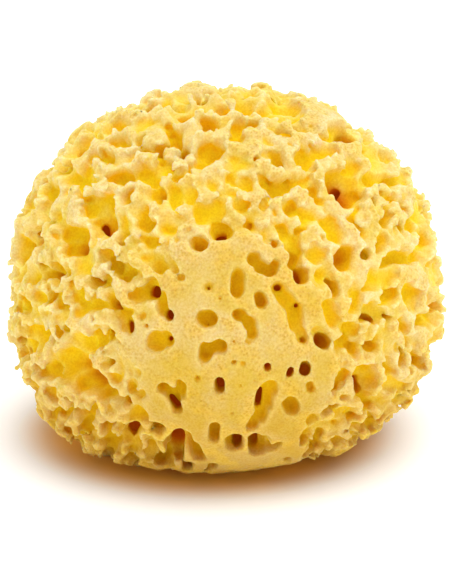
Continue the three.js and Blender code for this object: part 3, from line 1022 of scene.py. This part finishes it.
SHARPEST_FOLD = 62.0  # degrees, past which a fold is left sharp

STAGE_REACH = 4.0  # from the middle to the table's edges and to the screen
SCREEN_BELOW, SCREEN_ABOVE = 0.05, 1.8  # how far it reaches below and above the table top
SCREEN_TURN = 5  # between one upright edge of the screen and the next

ROOM_LIGHT = 0.62
# Name, the direction that the light comes from, the angle it spreads over and its strength.
LAMPS = (
    ("skylight", (0.20, -0.12, 1.0), 60, 1.7),
    ("window", (-0.35, -0.9, 0.8), 60, 0.1),
)

CAMERA_TARGET = (0, 0, 0.047)
CAMERA_DISTANCE = 0.62
LENS_LENGTH, SENSOR_WIDTH = 120, 36
LENS_SHIFT = 0.5 / 584


def show(name, mesh, material):
    """The mesh as an object in the scene, with that finish on it."""
    thing = bpy.data.objects.new(name, mesh)
    bpy.context.collection.objects.link(thing)
    mesh.materials.append(material)
    return thing


def table_mesh():
    low, high = -STAGE_REACH, STAGE_REACH
    corners = np.array([(low, low, 0), (high, low, 0), (high, high, 0), (low, high, 0)])
    return plain_mesh("table", corners, np.array([[0, 1, 2, 3]]))


def screen_mesh():
    """A low round screen that stands behind the table on every side."""
    turns = np.radians(np.arange(0, 360, SCREEN_TURN))
    ring = np.stack((np.cos(turns), np.sin(turns), np.zeros(len(turns))), axis=1) * STAGE_REACH
    here = np.arange(len(ring))
    after = np.roll(here, -1)
    walls = np.stack((here, here + len(ring), after + len(ring), after), axis=1)
    points = np.concatenate((ring - (0, 0, SCREEN_BELOW), ring + (0, 0, SCREEN_ABOVE)))
    return plain_mesh("screen", points, walls)


class SPONGE_OT_skeleton(bpy.types.Operator):
    """Grow the sponge's skeleton"""

    bl_idname = "sponge.skeleton"
    bl_label = "Skeleton"

    def execute(self, context):
        mesh = grow_skeleton(context.scene.sponge_sizes)
        if not len(mesh.polygons):
            raise RuntimeError("the skeleton came out empty")
        mesh.shade_smooth()
        mesh.set_sharp_from_angle(angle=math.radians(SHARPEST_FOLD))
        sponge = show("sponge_skeleton", mesh, skeleton_finish(context.scene.sponge_colours))
        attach(sponge, "root")
        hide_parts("sponge")
        return {"FINISHED"}


class SPONGE_OT_stage(bpy.types.Operator):
    """Lay the table, the screen, the lights and the camera"""

    bl_idname = "sponge.stage"
    bl_label = "Stage"

    def execute(self, context):
        scene = context.scene
        table = show("table", table_mesh(), table_finish(scene.sponge_colours))
        screen = show("screen", screen_mesh(), screen_finish())

        world = bpy.data.worlds.new("white room")
        world.use_nodes = True
        background = world.node_tree.nodes["Background"]
        background.inputs["Color"].default_value = WHITE
        background.inputs["Strength"].default_value = ROOM_LIGHT
        scene.world = world

        for name, towards, angle, strength in LAMPS:
            light = bpy.data.lights.new(name, "SUN")
            light.angle = math.radians(angle)
            light.energy = strength
            lamp = bpy.data.objects.new(name, light)
            lamp.location = towards
            lamp.rotation_euler = Vector(towards).to_track_quat("Z", "Y").to_euler()
            scene.collection.objects.link(lamp)

        lens = bpy.data.cameras.new("camera")
        lens.lens = LENS_LENGTH
        lens.sensor_width = SENSOR_WIDTH
        lens.shift_x = LENS_SHIFT
        camera = bpy.data.objects.new("camera", lens)
        target = Vector(CAMERA_TARGET)
        camera.location = target + Vector(SEEN_FROM) * CAMERA_DISTANCE
        camera.rotation_euler = (target - camera.location).to_track_quat("-Z", "Y").to_euler()
        scene.collection.objects.link(camera)
        scene.camera = camera
        scene.view_settings.view_transform = "Standard"
        return {"FINISHED"}


class SPONGE_PT_panel(bpy.types.Panel):
    """Sizes, colours and steps of the bath sponge"""

    bl_label = "Bath sponge"
    bl_idname = "SPONGE_PT_panel"
    bl_space_type = "VIEW_3D"
    bl_region_type = "UI"
    bl_category = "Sponge"

    def draw(self, context):
        scene = context.scene
        for settings in (scene.sponge_sizes, scene.sponge_colours):
            box = self.layout.box()
            for name in settings.__annotations__:
                box.prop(settings, name)
        for operator in STEPS:
            self.layout.operator(operator.bl_idname)


STEPS = (SPONGE_OT_skeleton, SPONGE_OT_stage)
CLASSES = (SpongeSizes, SpongeColours, *STEPS, SPONGE_PT_panel)


def register():
    for kind in CLASSES:
        bpy.utils.register_class(kind)
    bpy.types.Scene.sponge_sizes = PointerProperty(type=SpongeSizes)
    bpy.types.Scene.sponge_colours = PointerProperty(type=SpongeColours)


def unregister():
    del bpy.types.Scene.sponge_colours
    del bpy.types.Scene.sponge_sizes
    for kind in reversed(CLASSES):
        bpy.utils.unregister_class(kind)


def main():
    register()
    bpy.ops.sponge.skeleton()
    bpy.ops.sponge.stage()


if __name__ == "__main__":
    main()
